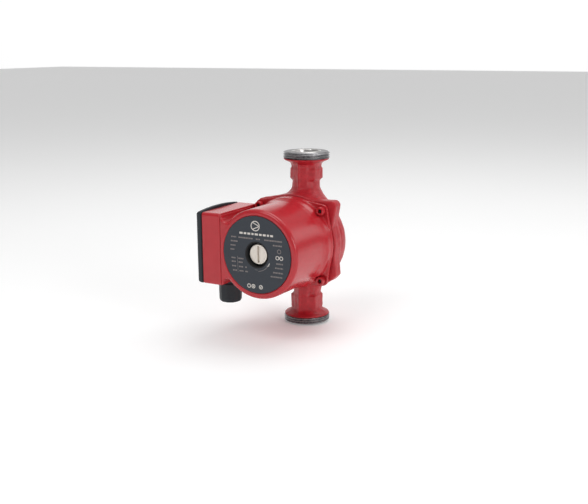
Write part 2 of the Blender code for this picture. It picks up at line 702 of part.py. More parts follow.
def make_gland(looks):
    at = (GLAND_X, GLAND_Y)
    body = [
        (CABLE_R + 0.6, GLAND_TOP + 8.0), (6.2, GLAND_TOP + 8.0), (6.2, GLAND_TOP - 1.0), (10.6, GLAND_TOP - 1.0),
        (10.6, GLAND_TOP - 3.2), (8.8, GLAND_TOP - 3.2), (8.8, -49.0), (CABLE_R + 0.6, -49.0),
    ]
    add("gland_body", turned(body, "Z", at, SMALL_ROUND), looks["black_plastic"])
    add("gland_washer", ring(6.8, 9.6, GLAND_TOP - 0.7, GLAND_TOP, "Z", at, SMALL_ROUND), looks["rubber"])
    seal = [(CABLE_R, -49.3), (8.4, -49.3), (8.4, -52.5), (7.0, -56.0), (CABLE_R, -56.0)]
    add("gland_seal", turned(seal, "Z", at, SMALL_ROUND), looks["rubber"])
    sides = 10
    levels = ((GLAND_TOP - 3.6, 0.94), (GLAND_TOP - 4.6, 1.0), (-56.6, 0.98), (-58.8, 0.93), (GLAND_END, 0.86))
    outer = skinned([
        [(at[0] + a, at[1] + b, z) for a, b in polygon(GLAND_R * scale, sides)] for z, scale in levels
    ])
    nut = add("gland_nut", outer)
    bore = [
        (0.0, -30.0), (9.1, -30.0), (9.1, -52.6), (7.4, -56.4), (CABLE_R + 1.2, -56.4), (CABLE_R + 1.2, -62.0),
        (0.0, -62.0),
    ]
    cut(nut, turned(bore, "Z", at, SMALL_ROUND))
    dress(nut, looks["black_plastic"])


# --- The pump ---------------------------------------------------------------------------------

def clear_scene():
    for made in list(bpy.data.objects):
        bpy.data.objects.remove(made)


def main():
    clear_scene()
    looks = make_materials()
    make_pump_housing(looks["cast_red"])
    make_wet_end(looks)
    make_vent(looks)
    make_motor(looks)
    make_terminal_box(looks["paint_red"])
    make_terminal_cover(looks["black_plastic"])
    make_box_fastenings(looks)
    make_electrics(looks)
    make_selector(looks)
    make_gland(looks)


main()
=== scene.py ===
"""Looks for the circulator pump: fine castings, threads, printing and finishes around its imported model.

Shapes are worked out in millimetres, in the part's own frame: X to the right, -Y towards the motor's
front, +Z up along the pipe. Each fine piece is a field of distances on a grid, meshed where it is zero.
"""

import json
import math

import bpy
import numpy as np
from mathutils import Matrix, Vector


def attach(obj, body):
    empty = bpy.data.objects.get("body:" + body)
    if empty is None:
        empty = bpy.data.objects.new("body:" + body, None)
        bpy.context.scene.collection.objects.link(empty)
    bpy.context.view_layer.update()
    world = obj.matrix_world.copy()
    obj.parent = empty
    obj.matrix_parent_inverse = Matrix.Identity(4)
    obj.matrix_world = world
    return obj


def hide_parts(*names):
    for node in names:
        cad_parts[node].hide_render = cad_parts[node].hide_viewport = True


MM = 0.001
COARSER = 1.0

# Ports, with places along the pipe measured from the pump's middle
PORT_HALF = 90.0
COLLAR_START = 82.8
THREAD_TOP = 89.0
THREAD_R = 23.9
THREAD_PITCH = 2.309
THREAD_DEPTH = 1.48
BORE_R = 12.5
PORT_FACE_R = 21.7
FACE_BANDS = 4  # bands of the machined face outside its raised lip

# Casing
CASING_FRONT = -28.7
CASING_FLANGE_R = 48.4
CASING_LUG_R = 6.8
FLANGE_BACK = -17.0
SCREW_SQUARE = 35.6
SCREWS = [(SCREW_SQUARE * sx, SCREW_SQUARE * sz) for sx, sz in ((1, 1), (1, -1), (-1, -1), (-1, 1))]
SCREW_HOLE_R = 2.8
NECK_HEX_R = 17.0
SPINE_HALF = 7.8
SPINE_BACK = -4.0
SPINE_START = 38.0
SPINE_END = 80.0

# Motor
MOTOR_FRONT = -98.4
MOTOR_R = 44.0
MOTOR_BACK = -29.3
MOTOR_FLANGE_R = 46.9
MOTOR_LUG_R = 6.0
LUG_FACE = -33.0
PLATE_R = 37.9
PLUG_HOLE_R = 13.2
PLATE_FACE = -98.6
PLUG_FACE = -95.4
PLUG_R = 9.9
SCREW_POCKET_R = 5.3
SCREW_HEAD_R = 4.3
SCREW_SHANK_R = 2.5
SCREW_SOCKET_R = 2.5

# Terminal box: places in its plane are (y, z), and the gland's is (x, y)
BOX_SIDE = -42.3
BOX_RIM = -63.6
BOX_FRONT = -98.4
BOX_BACK = -29.2
BOX_HALF_Z = 36.2
BOX_WALL = 2.8
BOX_CORNER_R = 3.0
BOX_INNER_R = 1.4
COVER_RIM = -64.8
COVER_END = -71.8
COVER_FACE = -69.7
COVER_BOW = 2.4
COVER_TAPER = 1.5
COVER_WALL = 2.6
COVER_POST_R = 4.2
SELECTOR_AT = (-53.0, 14.0)
SPINDLE_HOLE_R = 2.8
KNOB_R = 8.85
KNOB_END = -78.3
KNOB_BACK = -72.5
KNOB_FLUTES = 18
COVER_SCREWS = ((-90.0, -26.5), (-39.5, 26.5))
BOX_SCREWS = ((-91.0, -17.0), (-50.0, -14.0))
EARTH_AT = (-48.0, -24.0)
LEAD_Y = -80.5
LEAD_HOLE_R = 7.0
GLAND_AT = (-51.5, -68.0)
NUT_HALF = 11.4
NUT_FOOT = -59.5
NUT_TOP = -38.9
CABLE_R = 4.4

# Camera, in metres, degrees and millimetres of focal length
CAMERA_AT = (0.4586, -0.8218, 0.1989)
CAMERA_TURN = 29.98
CAMERA_DOWN = 12.91
CAMERA_ROLL = -0.4
CAMERA_LENS = 56.22

# Studio: a backdrop's brightness is in (height from -1 to 1, level) pairs, and lamps are in watts
WORLD_STRENGTH = 1.38
WORLD_FRONT = 0.3
BACKDROP_LEFT = (
    (-0.1, 0.7), (0.01, 0.74), (0.26, 0.8), (0.42, 0.22), (0.6, 0.25), (0.78, 0.7), (1.0, 0.7),
)
BACKDROP_RIGHT = (
    (-0.04, 0.15), (0.12, 0.12), (0.2, 0.9), (0.36, 1.0), (0.48, 0.2), (0.6, 0.25), (0.78, 0.7), (1.0, 0.7),
)
BACKDROP_MIX = (0.1, 0.35)
BACKDROP_DEPTH = (-0.6, 0.7)
FLOOR_Z = -90.6
FLOOR_HALF = 8000.0
FLOOR_GLOW = 0.15
KEY = 11.4
SIDE = 6.5
OVERHEAD = 6.0


# --- Fields of distances ----------------------------------------------------------------------

def smooth_max(a, b, blend):
    """Where two shapes overlap, with a soft seam between them; smooth_min joins them."""
    near = np.maximum(blend - np.abs(a - b), 0.0) / blend
    return np.maximum(a, b) + near * near * (blend * 0.25)


def smooth_min(a, b, blend):
    return -smooth_max(-a, -b, blend)


def rounded_and(a, b, radius):
    """Where two shapes overlap, with the edge between them rounded."""
    outside = np.hypot(np.maximum(a + radius, 0.0), np.maximum(b + radius, 0.0))
    return outside + np.minimum(np.maximum(a, b) + radius, 0.0) - radius


def polygon_distance(u, v, corners):
    """How far each point is from an outline: negative inside it."""
    nearest = np.full(np.broadcast(u, v).shape, 1e9, np.float32)
    sign = np.ones_like(nearest)
    for (ax, ay), (bx, by) in zip(corners, corners[-1:] + corners[:-1]):
        ex, ey = bx - ax, by - ay
        wx, wy = u - ax, v - ay
        along = np.clip((wx * ex + wy * ey) / (ex * ex + ey * ey), 0.0, 1.0)
        nearest = np.minimum(nearest, (wx - ex * along) ** 2 + (wy - ey * along) ** 2)
        above, below, left = v >= ay, v < by, ex * wy > ey * wx
        sign[(above & below & left) | ~(above | below | left)] *= -1.0
    return sign * np.sqrt(nearest)


def arc(centre, radius, start, end, steps):
    """Points along an arc, with its angles in degrees."""
    angles = [math.radians(start + (end - start) * k / steps) for k in range(steps + 1)]
    return [(centre[0] + radius * math.cos(a), centre[1] + radius * math.sin(a)) for a in angles]


class Grid:
    """Sample points around a piece, and the distances from them to simple shapes."""

    def __init__(self, low, high, step):
        self.step = step * COARSER
        self.axes = [
            np.arange(a - 2 * self.step, b + 3 * self.step, self.step, dtype=np.float32)
            for a, b in zip(low, high)
        ]
        self.x = self.axes[0][:, None, None]
        self.y = self.axes[1][None, :, None]
        self.z = self.axes[2][None, None, :]
        self.shape = tuple(len(a) for a in self.axes)

    def across(self, axis):
        return {"X": (self.y, self.z), "Y": (self.x, self.z), "Z": (self.x, self.y)}[axis]

    def along(self, axis):
        return {"X": self.x, "Y": self.y, "Z": self.z}[axis]

    def turned(self, profile, axis="Y", centre=(0.0, 0.0)):
        """A turned solid, from (radius, place along the axis) points; a radius of 0 is on the axis."""
        past_axis = -60.0
        corners = [(past_axis if r == 0.0 else r, t) for r, t in profile]
        a, b = self.across(axis)
        number = "XYZ".index(axis)
        radius = np.squeeze(np.hypot(a - centre[0], b - centre[1]), number)
        fine = 0.1
        table_r = np.arange(0.0, float(radius.max()) + 3 * fine, fine, dtype=np.float32)[:, None]
        table = polygon_distance(table_r, self.axes[number][None, :], corners)
        place = radius / fine
        low = place.astype(np.int32)
        share = (place - low)[..., None]
        found = table[low] * (1 - share) + table[low + 1] * share
        return np.moveaxis(found, -1, number)

    def disc(self, radius, low, high, axis="Y", centre=(0.0, 0.0), rounding=0.0):
        a, b = self.across(axis)
        side = np.hypot(a - centre[0], b - centre[1]) - radius
        return self.between(side, low, high, axis, rounding)

    def between(self, side, low, high, axis, rounding=0.0):
        ends = np.abs(self.along(axis) - (low + high) / 2) - (high - low) / 2
        return rounded_and(side, ends, rounding) if rounding else np.maximum(side, ends)

    def prism(self, outline, axis, low, high, rounding=0.0):
        a, b = self.across(axis)
        return self.between(polygon_distance(a, b, outline), low, high, axis, rounding)

    def block(self, low, high, rounding=0.0):
        over = [
            np.abs(p - (a + b) / 2) - (b - a) / 2 + rounding
            for p, a, b in zip((self.x, self.y, self.z), low, high)
        ]
        outside = np.sqrt(sum(np.maximum(o, 0.0) ** 2 for o in over))
        return outside + np.minimum(np.maximum(np.maximum(over[0], over[1]), over[2]), 0.0) - rounding

    def way(self, sections):
        """A round passage along Z, from (z, radius, y) sections."""
        z, radius, y = (np.array(c, np.float32) for c in zip(*sorted(sections)))
        return np.hypot(self.x, self.y - np.interp(self.z, z, y)) - np.interp(self.z, z, radius)

    def neck(self, sections, blend=1.0):
        """A pipe neck along Z, between round and hexagonal, with the hexagon's corners to front and back."""
        rows = sorted(sections)
        z = np.array([row[0] for row in rows], np.float32)
        radius, hexness, x, y, stretch = (
            np.interp(self.z, z, [row[k] for row in rows]).astype(np.float32) for k in range(1, 6)
        )
        dx, dy = (self.x - x) / stretch, self.y - y
        round_field = np.hypot(dx, dy) - radius
        half, tall = 0.5 * dx, math.sqrt(0.75) * dy
        flats = smooth_max(smooth_max(np.abs(dx), np.abs(half + tall), blend), np.abs(half - tall), blend)
        hexagon = flats - radius * math.cos(math.pi / 6)
        field = round_field * (1 - hexness) + hexagon * hexness
        return self.between(field, float(z[0]), float(z[-1]), "Z", 0.5) * 0.9


def lumps(grid, wavelength, seed):
    """An uneven cast surface: a few crossed waves in fixed directions, between about -1 and 1."""
    chance = np.random.default_rng(seed)
    total = 0.0
    for k in range(9):
        direction = chance.normal(size=3)
        direction *= math.tau / (wavelength * chance.uniform(0.7, 1.5)) / np.linalg.norm(direction)
        phase = chance.uniform(0.0, math.tau)
        wave = grid.x * direction[0] + grid.y * direction[1] + grid.z * direction[2] + phase
        total = total + np.sin(wave.astype(np.float32))
    return total / 4.5


# --- Meshes -----------------------------------------------------------------------------------

def mesh_object(name, vertices, faces, look, body="pump", slot=None, smooth=True):
    """vertices in millimetres, faces as an array of quads or a list of corner lists."""
    mesh = bpy.data.meshes.new(name)
    if isinstance(faces, np.ndarray):
        vertices = np.asarray(vertices, np.float32) * MM
        mesh.vertices.add(len(vertices))
        mesh.vertices.foreach_set("co", vertices.ravel())
        mesh.loops.add(faces.size)
        mesh.loops.foreach_set("vertex_index", faces.astype(np.int32).ravel())
        mesh.polygons.add(len(faces))
        mesh.polygons.foreach_set("loop_start", np.arange(0, faces.size, faces.shape[1], dtype=np.int32))
    else:
        mesh.from_pydata([tuple(c * MM for c in v) for v in vertices], [], faces)
    mesh.update(calc_edges=True)
    mesh.validate()
    mesh.polygons.foreach_set("use_smooth", [smooth] * len(mesh.polygons))
    made = bpy.data.objects.new(name, mesh)
    bpy.context.scene.collection.objects.link(made)
    mesh.materials.append(look)
    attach(made, body)
    return made


CELL_CORNERS = [(i, j, k) for i in (0, 1) for j in (0, 1) for k in (0, 1)]
CELL_EDGES = [
    (a, b) for a in range(8) for b in range(a + 1, 8)
    if sum(abs(p - q) for p, q in zip(CELL_CORNERS[a], CELL_CORNERS[b])) == 1
]


def surface(grid, field):
    """The closed surface where the field is zero: one point in each cell that it crosses, joined in quads."""
    field = np.broadcast_to(field, grid.shape).astype(np.float32)
    for number in range(3):
        ends = np.moveaxis(field, number, 0)
        ends[0] = ends[-1] = grid.step
    field[field == 0.0] = 1e-6
    inside = field < 0
    cells = tuple(n - 1 for n in grid.shape)
    count = np.zeros(cells, np.int8)
    for i, j, k in CELL_CORNERS:
        count += inside[i:i + cells[0], j:j + cells[1], k:k + cells[2]]
    crossed = np.nonzero((count > 0) & (count < 8))
    values = [field[crossed[0] + i, crossed[1] + j, crossed[2] + k] for i, j, k in CELL_CORNERS]
    total = np.zeros((len(crossed[0]), 3), np.float32)
    number_of = np.zeros(len(crossed[0]), np.float32)
    for a, b in CELL_EDGES:
        cross = (values[a] < 0) != (values[b] < 0)
        share = np.where(cross, values[a] / np.where(cross, values[a] - values[b], 1.0), 0.0)
        start, end = np.array(CELL_CORNERS[a], np.float32), np.array(CELL_CORNERS[b], np.float32)
        total += np.where(cross[:, None], start + share[:, None] * (end - start), 0.0)
        number_of += cross
    points = np.stack(crossed, 1) + total / number_of[:, None]
    points = points * grid.step + np.array([a[0] for a in grid.axes], np.float32)
    index = np.full(cells, -1, np.int32)
    index[crossed] = np.arange(len(crossed[0]), dtype=np.int32)
    quads = []
    for number in range(3):
        low = [slice(1, n - 1) for n in grid.shape]
        high = list(low)
        low[number], high[number] = slice(0, grid.shape[number] - 1), slice(1, grid.shape[number])
        starts_inside, ends_inside = inside[tuple(low)], inside[tuple(high)]
        offset = np.array([s.start for s in low])
        side_u, side_v = np.eye(3, dtype=int)[(number + 1) % 3], np.eye(3, dtype=int)[(number + 2) % 3]
        for where, order in (
            (starts_inside & ~ends_inside, (0, 1, 2, 3)), (~starts_inside & ends_inside, (3, 2, 1, 0))
        ):
            at = np.stack(np.nonzero(where), 1) + offset
            around = [at - side_u - side_v, at - side_v, at, at - side_u]
            quads.append(np.stack([index[tuple(around[k].T)] for k in order], 1))
    return points, np.concatenate(quads)


def field_object(name, grid, field, look, body="pump", slot=None):
    points, quads = surface(grid, field)
    return mesh_object(name, points, quads, look, body, slot)


# --- Finishes ---------------------------------------------------------------------------------

def finish(name, light, dark, roughness, metallic=0.0, grain=400.0, spread=0.12, bump=0.00002,
           bump_scale=2500.0, coat=0.0, coarse_bump=0.0, coarse_scale=300.0, specular=0.5, streak=None):
    """A painted, cast, moulded or machined surface: uneven colour and gloss, and a fine relief."""
    made = bpy.data.materials.new(name)
    made.use_nodes = True
    nodes, links = made.node_tree.nodes, made.node_tree.links
    shader = nodes["Principled BSDF"]
    shader.inputs["Metallic"].default_value = metallic
    shader.inputs["Coat Weight"].default_value = coat
    shader.inputs["Coat Roughness"].default_value = 0.12
    shader.inputs["Specular IOR Level"].default_value = specular
    where = nodes.new("ShaderNodeTexCoord")
    source = where.outputs["Object"]
    if streak:
        mapping = nodes.new("ShaderNodeMapping")
        mapping.inputs["Scale"].default_value = streak
        links.new(source, mapping.inputs["Vector"])
        source = mapping.outputs["Vector"]

    def noise(scale, detail, rough=0.6):
        node = nodes.new("ShaderNodeTexNoise")
        node.inputs["Scale"].default_value = scale
        node.inputs["Detail"].default_value = detail
        node.inputs["Roughness"].default_value = rough
        links.new(source, node.inputs["Vector"])
        return node.outputs["Fac"]

    tone = nodes.new("ShaderNodeValToRGB")
    tone.color_ramp.elements[0].position, tone.color_ramp.elements[1].position = 0.3, 0.7
    tone.color_ramp.elements[0].color = (*dark, 1.0)
    tone.color_ramp.elements[1].color = (*light, 1.0)
    links.new(noise(grain, 6.0), tone.inputs["Fac"])
    links.new(tone.outputs["Color"], shader.inputs["Base Color"])
    gloss = nodes.new("ShaderNodeMapRange")
    gloss.inputs["To Min"].default_value = max(roughness - spread, 0.02)
    gloss.inputs["To Max"].default_value = min(roughness + spread, 1.0)
    links.new(noise(grain * 2.3, 4.0), gloss.inputs["Value"])
    links.new(gloss.outputs["Result"], shader.inputs["Roughness"])
    relief = nodes.new("ShaderNodeBump")
    relief.inputs["Distance"].default_value = bump
    links.new(noise(bump_scale, 3.0), relief.inputs["Height"])
    if coarse_bump:
        wide = nodes.new("ShaderNodeBump")
        wide.inputs["Distance"].default_value = coarse_bump
        links.new(noise(coarse_scale, 4.0, 0.7), wide.inputs["Height"])
        links.new(wide.outputs["Normal"], relief.inputs["Normal"])
    links.new(relief.outputs["Normal"], shader.inputs["Normal"])
    return made


LOOKS = {
    "cast_red": finish(
        "cast_red_fine", (0.53, 0.019, 0.030), (0.38, 0.014, 0.022), 0.38, spread=0.14, grain=260.0,
        bump=0.00014, bump_scale=900.0, coarse_bump=0.0006, coarse_scale=240.0, coat=0.05, specular=0.42,
    ),
    "paint_red": finish(
        "paint_red_fine", (0.49, 0.018, 0.027), (0.445, 0.016, 0.024), 0.24, spread=0.04, grain=120.0,
        bump=0.000012, bump_scale=1400.0, coat=0.12, specular=0.45,
    ),
    "slate": finish(
        "slate_fine", (0.036, 0.043, 0.055), (0.031, 0.037, 0.048), 0.5, spread=0.08, grain=900.0,
        specular=0.4,
    ),
    "black_plastic": finish(
        "black_plastic_fine", (0.015, 0.020, 0.027), (0.011, 0.015, 0.020), 0.48, spread=0.1, grain=700.0,
        bump=0.00003, bump_scale=3000.0, specular=0.42,
    ),
    "plug_metal": finish(
        "plug_metal_fine", (0.80, 0.74, 0.67), (0.68, 0.62, 0.56), 0.36, 1.0, grain=900.0, bump=0.00003,
        bump_scale=2600.0, streak=(1.0, 1.0, 0.25),
    ),
    "stainless": finish("stainless_fine", (0.63, 0.63, 0.63), (0.53, 0.53, 0.54), 0.28, 1.0, grain=900.0),
    "steel": finish(
        "steel_fine", (0.36, 0.355, 0.36), (0.15, 0.15, 0.155), 0.42, 1.0, grain=500.0, bump=0.00004,
        bump_scale=1800.0,
    ),
    "ceramic": finish("ceramic_fine", (0.85, 0.83, 0.78), (0.78, 0.75, 0.70), 0.3),
    "carbon": finish("carbon_fine", (0.034, 0.034, 0.034), (0.022, 0.022, 0.022), 0.6),
    "rubber": finish("rubber_fine", (0.016, 0.016, 0.017), (0.009, 0.009, 0.010), 0.75, grain=800.0),
    "lamination": finish(
        "lamination_fine", (0.34, 0.34, 0.36), (0.20, 0.20, 0.22), 0.5, 1.0, streak=(0.1, 4.0, 0.1),
    ),
    "copper": finish(
        "copper_fine", (0.62, 0.27, 0.12), (0.42, 0.16, 0.06), 0.4, 1.0, bump=0.0001, bump_scale=1500.0,
    ),
    "composite": finish("composite_fine", (0.22, 0.19, 0.15), (0.15, 0.13, 0.10), 0.5),
    "white_plastic": finish("white_plastic_fine", (0.76, 0.75, 0.71), (0.68, 0.67, 0.63), 0.5),
    "brass": finish("brass_fine", (0.72, 0.52, 0.22), (0.55, 0.38, 0.15), 0.35, 1.0),
    "lead_brown": finish("lead_brown_fine", (0.13, 0.055, 0.025), (0.09, 0.035, 0.015), 0.6),
}
THREAD_STEEL = finish(
    "thread_steel", (0.45, 0.44, 0.445), (0.15, 0.15, 0.16), 0.33, 1.0, grain=450.0, bump=0.00004,
    bump_scale=1500.0,
)
# The face and its raised lip are the same machined steel in two copies: the face's is darkened as painted
# shade, the lip's lightened as a painted highlight
SHADED_FACE_STEEL = finish(
    "face_steel_painted_shade", (0.36, 0.355, 0.36), (0.27, 0.265, 0.27), 0.42, 1.0, grain=700.0, bump=0.00003,
    bump_scale=2400.0,
)
LIT_LIP_STEEL = finish(
    "lip_steel_painted_highlight", (0.66, 0.64, 0.62), (0.50, 0.49, 0.48), 0.32, 1.0, grain=700.0, bump=0.00003,
    bump_scale=2400.0,
)
PRINT_LIGHT = finish("print_light", (0.72, 0.68, 0.63), (0.62, 0.58, 0.54), 0.5, grain=1500.0)
PRINT_DIM = finish("print_dim", (0.27, 0.23, 0.22), (0.19, 0.165, 0.16), 0.55, grain=1500.0)


# --- Pump casing ------------------------------------------------------------------------------

DRUM = [  # radius, y
    (0.0, -28.0), (47.0, -28.0), (47.8, -18.0), (48.4, -12.0), (48.2, -7.0), (46.6, -2.0), (43.6, 3.0),
    (39.5, 9.5), (35.0, 17.0), (31.5, 23.0), (28.0, 27.5), (24.0, 29.9), (0.0, 29.9),
]
OUTLET_NECK = [  # z, radius, how hexagonal, centre x and y, stretch along X
    (84.0, 18.2, 0.0, 0, 0, 1), (80.6, 17.2, 0.0, 0, 0, 1), (77.0, 15.9, 0.5, 0, 0, 1),
    (73.4, 15.6, 0.8, 0, 0, 1), (71.8, NECK_HEX_R, 1.0, 0, 0, 1), (62.0, NECK_HEX_R, 1.0, 0, 0, 1),
    (59.6, 14.3, 0.3, 0, -0.3, 1), (53.0, 14.4, 0.3, 0.3, -1.8, 1), (46.0, 16.2, 0.3, 2.5, -5.0, 1.15),
    (41.0, 17.0, 0.2, 4.5, -9.0, 1.35), (30.0, 16.0, 0.0, 4.5, -11.0, 1.5),
]
INLET_NECK = [
    (-84.0, 18.2, 0.0, 0, 0, 1), (-80.6, 17.2, 0.0, 0, 0, 1), (-76.4, 16.2, 0.5, 0, 0, 1),
    (-74.4, NECK_HEX_R, 1.0, 0, 0, 1), (-62.0, NECK_HEX_R, 1.0, 0, 0, 1), (-59.6, 14.3, 0.3, 0, 0.7, 1),
    (-51.0, 15.2, 0.4, 0, 4.0, 1), (-42.0, 16.0, 0.3, 0, 9.0, 1), (-30.0, 15.5, 0.0, 0, 11.5, 1),
    (-10.0, 15.5, 0.0, 0, 12.0, 1), (4.0, 13.0, 0.0, 0, 11.0, 1),
]
OUTLET_WAY = [  # z, radius, centre y
    (100.0, BORE_R, 0.0), (60.0, BORE_R, 0.0), (50.0, 11.6, -4.0), (41.0, 10.2, -12.0), (30.0, 9.4, -15.0),
]
INLET_WAY = [
    (-100.0, BORE_R, 0.0), (-58.0, BORE_R, 0.5), (-50.0, 11.8, 4.0), (-42.0, 10.9, 8.6), (-34.0, 10.4, 11.0),
    (-8.0, 10.6, 11.0), (0.0, 9.0, 10.5), (5.0, 5.0, 10.0),
]
CHAMBER = [
    (0.0, -40.0), (43.0, -40.0), (43.0, -25.5), (39.7, -25.5), (42.0, -22.0), (42.0, -9.0), (39.5, -5.5),
    (0.0, -5.5),
]


def lug_tangent(flange_r, lug_r):
    """The angle from a lug's direction at which a straight side leaves it and touches the flange's disc."""
    return math.degrees(math.acos((flange_r - lug_r) / (SCREW_SQUARE * math.sqrt(2))))


def casing_outline():
    """A disc with two small lugs on the left, a squared lug at upper right and a cut corner below it."""
    tangent = lug_tangent(CASING_FLANGE_R, CASING_LUG_R)
    outline = arc((0, 0), CASING_FLANGE_R, -12, 22, 8)
    outline += arc((43.6, 39.6), 5.3, 0, 90, 8)
    outline += arc((0, 0), CASING_FLANGE_R, 66, 135 - tangent, 10)
    outline += arc((-SCREW_SQUARE, SCREW_SQUARE), CASING_LUG_R, 135 - tangent, 135 + tangent, 8)
    outline += arc((0, 0), CASING_FLANGE_R, 135 + tangent, 225 - tangent, 6)
    outline += arc((-SCREW_SQUARE, -SCREW_SQUARE), CASING_LUG_R, 225 - tangent, 225 + tangent, 8)
    outline += arc((0, 0), CASING_FLANGE_R, 225 + tangent, 296, 10)
    return outline + [(SCREW_SQUARE + 1.0, -40.6), (SCREW_SQUARE + 9.0, -35.6), (49.4, -30.5)]


def make_casing():
    grid = Grid((-48.5, -29, -83), (50, 30, 83), 0.7)
    drum = grid.turned(DRUM)
    flange = grid.prism(casing_outline(), "Y", CASING_FRONT, FLANGE_BACK, 1.4)
    body = smooth_min(drum, flange, 3.5)
    out, into = grid.neck(OUTLET_NECK), grid.neck(INLET_NECK)
    body = smooth_min(body, out, 6.0)
    body = smooth_min(body, into, 6.0)
    # The front corner runs on as a spine, from the drum to the port's cone, past the wrench flats
    half, tall = 0.5 * grid.x, math.sqrt(0.75) * grid.y
    corner = np.maximum(np.abs(half + tall), np.abs(half - tall)) - NECK_HEX_R * math.cos(math.pi / 6)
    side = rounded_and(corner, np.abs(grid.x) - SPINE_HALF, 0.8)
    spine = np.maximum(np.maximum(side, grid.y - SPINE_BACK), SPINE_START - np.abs(grid.z))
    body = smooth_min(body, np.maximum(spine, np.abs(grid.z) - SPINE_END), 1.5)
    necks = np.minimum(np.minimum(out, into), spine)
    # The mould's parting line, a low ridge down the front and back of the necks
    ridge = rounded_and(necks - 0.7, np.abs(grid.x) - 0.9, 0.6)
    beyond_drum = np.hypot(grid.x, grid.z) > 44.0
    body = np.where(beyond_drum, smooth_min(body, ridge, 1.2), body)
    cone = [(0.0, 78.0), (17.0, 78.4), (22.7, 81.0), (23.4, 81.9), (23.4, 82.7), (0.0, 82.7)]
    for end in (1, -1):
        rim = grid.turned([(r, end * z) for r, z in cone], "Z")
        body = smooth_min(body, rim, 2.5)
    body = body + lumps(grid, 6.0, 3) * 0.10 + lumps(grid, 2.6, 4) * 0.055
    body = np.maximum(body, np.abs(grid.z) - COLLAR_START + 0.02)
    body = np.maximum(body, CASING_FRONT - grid.y)
    chamber = grid.turned(CHAMBER)
    eye = grid.turned([(0.0, -9.0), (13.5, -9.0), (13.5, -0.5), (11.0, 12.0), (0.0, 12.0)])
    inlet = np.maximum(grid.way(INLET_WAY), grid.z - INLET_WAY[-1][0])
    outlet = np.maximum(grid.way(OUTLET_WAY), OUTLET_WAY[-1][0] - grid.z)
    hollow = np.minimum(smooth_min(inlet, eye, 2.0), smooth_min(outlet, chamber, 2.0))
    for at in SCREWS:
        hollow = np.minimum(hollow, grid.disc(SCREW_HOLE_R, -40.0, -18.6, centre=at))
    body = smooth_max(body, -hollow, 0.8)
    made = field_object("pump_casing", grid, body, LOOKS["cast_red"], slot="cast_red")
    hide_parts("pump_housing")


def make_collar(name, side):
    """A port's threaded end: a helical pipe thread, a machined face with a raised lip, and the bore."""
    around = 256
    angles = np.arange(around) * math.tau / around
    rows = [(BORE_R + 0.1, COLLAR_START), (22.4, COLLAR_START), (22.9, COLLAR_START + 0.15)]
    threads = np.linspace(COLLAR_START + 0.3, THREAD_TOP, 76)
    points = [[(r, z) for _ in angles] for r, z in rows]
    for z in threads:
        turn = (z - angles / math.tau * THREAD_PITCH * side) / THREAD_PITCH
        tooth = 0.5 + 0.5 * np.clip(1.1 * np.cos(math.tau * turn), -1.0, 1.0)
        run_out = min(1.0, (z - COLLAR_START) / 0.9)
        lead_in = min(1.0, (PORT_HALF + 0.3 - z) / 1.6)
        radius = THREAD_R - THREAD_DEPTH * (1 - tooth * lead_in) * run_out
        points.append([(float(r), float(z)) for r in radius])
    face = [
        (PORT_FACE_R + 0.6, 89.3), (PORT_FACE_R + 0.1, 89.6), (PORT_FACE_R - 0.3, 89.65),
        (18.0, 89.5), (15.4, 89.45), (15.0, 89.85), (14.7, PORT_HALF), (13.5, PORT_HALF),
        (13.0, 89.8), (BORE_R + 0.1, 89.1),
    ]
    face_from = (len(points) + 1) * around
    points += [[(r, z) for _ in angles] for r, z in face]
    vertices = np.array([
        [(r * math.cos(a), r * math.sin(a), side * z) for (r, z), a in zip(row, angles)] for row in points
    ]).reshape(-1, 3)
    count = len(points)
    row, column = np.meshgrid(np.arange(count), np.arange(around), indexing="ij")
    next_row, next_column = (row + 1) % count, (column + 1) % around
    corners = [row * around + column, row * around + next_column, next_row * around + next_column,
               next_row * around + column]
    quads = np.stack(corners if side > 0 else corners[::-1], -1).reshape(-1, 4)
    made = mesh_object(name, vertices, quads, THREAD_STEEL, slot="steel")
    made.data.materials.append(SHADED_FACE_STEEL)
    made.data.materials.append(LIT_LIP_STEEL)
    # The face's outer bands take the darker steel, painted shade, and the lip takes the lighter steel, a
    # painted highlight
    for polygon in made.data.polygons:
        last = max(polygon.vertices)
        polygon.material_index = int(last >= face_from) + int(last >= face_from + FACE_BANDS * around)
    made.data.set_sharp_from_angle(angle=math.radians(42))
    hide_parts("pump_housing")


# --- Motor ------------------------------------------------------------------------------------

def stator_outline():
    """A disc with four lugs, joined by straight sides."""
    outline = []
    tangent = lug_tangent(MOTOR_FLANGE_R, MOTOR_LUG_R)
    reach = SCREW_SQUARE * math.sqrt(2)
    for quarter in range(4):
        middle = 45 + 90 * quarter
        turn = math.radians(middle)
        place = (reach * math.cos(turn), reach * math.sin(turn))
        outline += arc((0, 0), MOTOR_FLANGE_R, middle - 90 + tangent, middle - tangent, 4)
        outline += arc(place, MOTOR_LUG_R, middle - tangent, middle + tangent, 12)
    return outline


